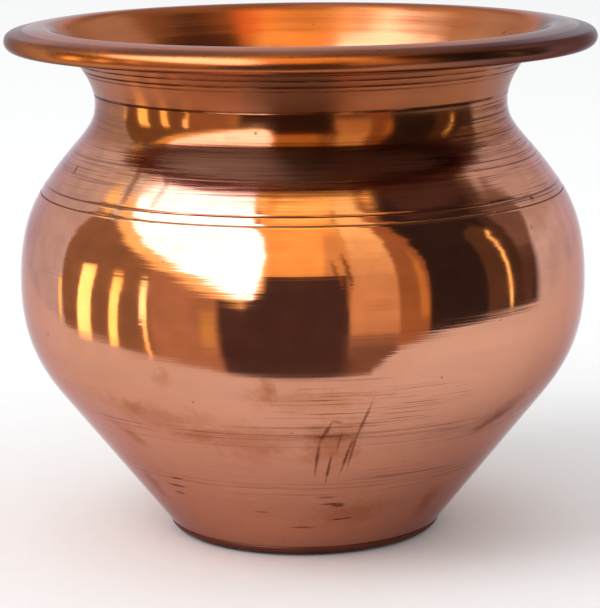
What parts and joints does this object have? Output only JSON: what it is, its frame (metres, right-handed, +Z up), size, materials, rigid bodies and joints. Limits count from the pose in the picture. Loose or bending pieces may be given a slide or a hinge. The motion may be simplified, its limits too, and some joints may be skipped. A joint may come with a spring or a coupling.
{
  "type": "kalash",
  "caption": "Small copper kalash: a round-bellied ritual water vessel with a narrow neck, a wide flared mouth with a rolled lip, and a belly that tapers to a flat base.",
  "frame": {"origin": "on the vessel's axis, in the plane of its flat underside", "axes": "+Z up along the axis of rotation, out of the mouth; the vessel is round, so +X and +Y are free"},
  "size_m": [0.102, 0.102, 0.0887],
  "materials": {
    "spun_copper": "polished, with fine spinning lines round it",
    "polished_copper": "mirror polish with light tarnish",
    "base_copper": "satin, worn and tarnished",
    "copper_wire": "drawn",
    "braze_alloy": "dull"
  },
  "bodies": {
    "root": {"mouth_and_neck_shell": "spun_copper", "belly_shell": "polished_copper", "base_disc": "base_copper", "rim_wire": "copper_wire", "shoulder_seam_braze": "braze_alloy", "base_seam_braze": "braze_alloy"}
  },
  "joints": []
}
